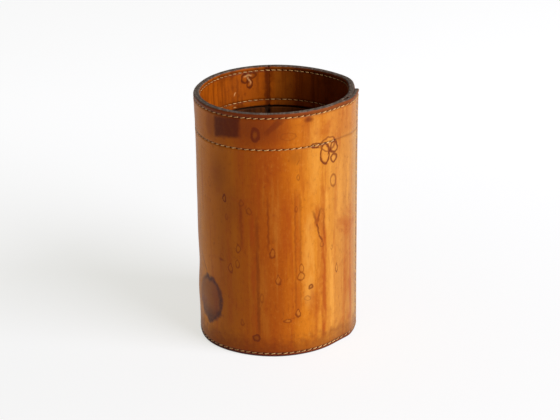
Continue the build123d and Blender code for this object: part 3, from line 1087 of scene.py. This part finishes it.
thread = {
    "length": 2.75,
    "width": 0.38,
    "height": 0.30,
    "slant": 11,  # degrees that a stitch climbs from one hole to the next
    "seamSlant": 8,
    "unevenness": 5,  # degrees either way
    "twist": 5.0,  # radians that the two plies turn over half a stitch
    "ply": 0.14,  # how far the plies stand out
    "thinning": 0.35,  # towards each hole
    "lift": 0.17,
    "dive": 0.55,
    "overrun": 1.06,  # the ends reach past the holes' middles
    "sunk": 0.12,  # how far the holes lie in from the leather's face
    "seamSunk": 0.1,
    "seamInside": 0.45,
    "bump": 0.05,
    "cream": (0.74, 0.45, 0.17),
    "aged": (0.44, 0.22, 0.07),
    "grime": (0.14, 0.055, 0.018),
}


def stitchBar(bm):
    # one visible stitch along X: a two-ply thread that dives into a hole at each end
    bmesh.ops.create_cone(bm, cap_ends=True, segments=8, radius1=0.5, radius2=0.5, depth=1)
    long = [edge for edge in bm.edges if abs(edge.verts[0].co.z - edge.verts[1].co.z) > 0.5]
    bmesh.ops.subdivide_edges(bm, edges=long, cuts=5, use_grid_fill=True)
    for vert in bm.verts:
        place = vert.co.z * 2
        turn = atan2(vert.co.y, vert.co.x)
        ply = 1 + thread["ply"] * cos(2 * turn - thread["twist"] * place)
        thin = 1 - thread["thinning"] * place**6
        along = place * thread["length"] / 2 * thread["overrun"]
        across = cos(turn) * ply * thin * thread["width"] / 2
        up = sin(turn) * ply * thin * thread["height"] / 2
        up = up + thread["lift"] - thread["dive"] * abs(place) ** 5
        vert.co = Vector((along, across, up)) * mm
    for face in bm.faces:
        face.smooth = True
    return bm.verts[:] + bm.edges[:] + bm.faces[:]


def onlyVerts(items):
    return [item for item in items if isinstance(item, bmesh.types.BMVert)]


def sewRow(name, stitches):
    # stitches: (where one starts, where it ends, which way is up from the leather, slant)
    bm = bmesh.new()
    pattern = stitchBar(bm)
    for index, (start, end, out, slant) in enumerate(stitches):
        copied = bmesh.ops.duplicate(bm, geom=pattern)["geom"]
        ahead = (end - start).normalized()
        aside = out.cross(ahead).normalized()
        chance = noise.noise(Vector((index * 1.7, len(stitches), 0)))
        lean = radians(slant + thread["unevenness"] * chance)
        ahead, aside = ahead * cos(lean) + aside * sin(lean), aside * cos(lean) - ahead * sin(lean)
        reach = (end - start).length / (cup["stitchPitch"] * mm)
        turned = Matrix((ahead * reach, aside, ahead.cross(aside))).transposed().to_4x4()
        matrix = Matrix.Translation((start + end) / 2) @ turned
        bmesh.ops.transform(bm, matrix=matrix, verts=onlyVerts(copied))
    bmesh.ops.delete(bm, geom=onlyVerts(pattern), context="VERTS")
    bmesh.ops.recalc_face_normals(bm, faces=bm.faces)
    return finishMesh(bm, name)


def ringStitches(turns, level, insideRadius):
    # a row round the cup: each stitch shows outside and inside
    stitches = []
    for pair in zip(turns, turns[1:]):
        middle = facing(sum(pair) / 2).to_3d()
        outside = [facing(turn) * (wallSurface(turn) - thread["sunk"]) for turn in pair]
        inside = [facing(turn) * (insideRadius + thread["sunk"]) for turn in pair]
        stitches.append((*(settle(*place, level) for place in outside), middle, thread["slant"]))
        stitches.append((*(settle(*place, level) for place in inside), -middle, -thread["slant"] / 2))
    return stitches


def seamStitches():
    # the upright row through both layers of the lap, in two stretches between the rows round the cup
    stitches = []
    out = facing(seamTurn)
    outside = out * (outerRadius + cup["lapStep"] - thread["seamSunk"])
    inside = out * (outerRadius - cup["thickness"] + thread["seamInside"])
    for low, high in ((baseRowZ, collarRowZ), (collarRowZ, rimRowZ)):
        bottom = low + cup["stitchPitch"]
        length = high - cup["stitchPitch"] - bottom
        count = round(length / cup["stitchPitch"])
        for step in range(count):
            ends = [bottom + length * (step + more) / count for more in (0, 1)]
            stitches.append((*(settle(*outside, level) for level in ends), out.to_3d(), thread["seamSlant"]))
            stitches.append((*(settle(*inside, level) for level in ends), -out.to_3d(), 0))
    return stitches


def threadMaterial():
    graph = Graph("waxedLinenThread")
    place = graph.solid()
    each = graph.noise(place, 0.32, 1.0)
    dirt = graph.noise(place, 1.1, 3.0, 0.6)
    plies = graph.noise(place, 5.0, 2.0)
    colour = graph.mix(thread["aged"], thread["cream"], graph.rise(each, 0.38, 0.62))
    colour = graph.mix(colour, thread["grime"], graph.rise(dirt, 0.50, 0.72, 0.75))
    return graph.finish(colour, 0.5 + dirt * 0.2, plies, thread["bump"], {})


linen = threadMaterial()
collarInside = bandOuter - collar["thickness"]
skirtInside = bandOuter - base["thickness"]
rows = (
    ("rimStitches", "rim_stitching", ringStitches(fullRow, rimRowZ, collarInside)),
    ("collarStitches", "collar_stitching", ringStitches(collarRow, collarRowZ, collarInside)),
    ("baseStitches", "base_stitching", ringStitches(fullRow, baseRowZ, skirtInside)),
    ("seamStitches", "seam_stitching", seamStitches()),
)
for name, node, stitches in rows:
    settled(sewRow(name, stitches), node, linen)

studio = {
    "floor": (0.33, 0.33, 0.38),
    "floorReach": 6,  # metres each way
    "floorShade": 0.985,
    "glow": 0.80,  # the table is lit from inside, so the shadow on it stays pale
    "glowFront": (0.845, 0.845, 0.80),
    "glowBack": (0.985, 0.985, 0.955),
    "glowFrom": (-100, 450),  # from the front colour to the back one
    "world": (1.0, 1.0, 1.0),
    "worldStrength": 0.15,
    "keyPower": 68.0,
    "keyPlace": (1.60, -1.02, 1.16),
    "keySize": 1.5,
    "keyTarget": (0, 0, 0.07),
}


def makeFloor():
    bm = bmesh.new()
    bmesh.ops.create_grid(bm, x_segments=1, y_segments=1, size=studio["floorReach"])
    table = finishMesh(bm, "studioFloor")
    graph = Graph("paleFloor")
    place = graph.solid()
    shaded = [part * studio["floorShade"] for part in studio["floor"]]
    tone = graph.mix(studio["floor"], shaded, graph.noise(place, 0.004, 2.0))
    away = graph.rise(graph.part(place, 1), *studio["glowFrom"])
    emission = graph.mix(studio["glowFront"], studio["glowBack"], away)
    glow = {"Emission Color": emission, "Emission Strength": studio["glow"], "Specular IOR Level": 0.0}
    height = graph.noise(place, 0.5, 2.0)
    table.data.materials.append(graph.finish(tone, 0.9, height, 0.001, glow))


makeFloor()
world = bpy.data.worlds.new("studio")
bpy.context.scene.world = world
world.use_nodes = True
background = world.node_tree.nodes["Background"]
background.inputs["Color"].default_value = (*studio["world"], 1)
background.inputs["Strength"].default_value = studio["worldStrength"]
bpy.context.scene.view_settings.view_transform = "Standard"


def areaLight(name, place, size, power, target):
    light = bpy.data.lights.new(name, "AREA")
    light.size = size
    light.energy = power
    lamp = bpy.data.objects.new(name, light)
    lamp.location = place
    lamp.rotation_euler = (Vector(target) - Vector(place)).to_track_quat("-Z", "Y").to_euler()
    bpy.context.scene.collection.objects.link(lamp)


areaLight("key", studio["keyPlace"], studio["keySize"], studio["keyPower"], studio["keyTarget"])

view = {
    "distance": 0.811,
    "elevation": 22.32,
    "roll": -0.89,
    "lens": 92.8,
    "sensor": 36,
    "shift": (0.0054, -0.0030),
}


def makeCamera():
    target = Vector((0, 0, cupHeight / 2 * mm))
    tilt = radians(view["elevation"])
    back = Vector((0, -cos(tilt), sin(tilt)))
    right = Vector((1, 0, 0))
    up = back.cross(right)
    roll = radians(view["roll"])
    right, up = right * cos(roll) + up * sin(roll), up * cos(roll) - right * sin(roll)
    lens = bpy.data.cameras.new("camera")
    lens.sensor_width = view["sensor"]
    lens.lens = view["lens"]
    lens.shift_x, lens.shift_y = view["shift"]
    lens.clip_start = 0.01
    camera = bpy.data.objects.new("camera", lens)
    turned = Matrix((right, up, back)).transposed().to_4x4()
    camera.matrix_world = Matrix.Translation(target + back * view["distance"]) @ turned
    bpy.context.scene.collection.objects.link(camera)
    bpy.context.scene.camera = camera


makeCamera()
print("table, light and camera ready")
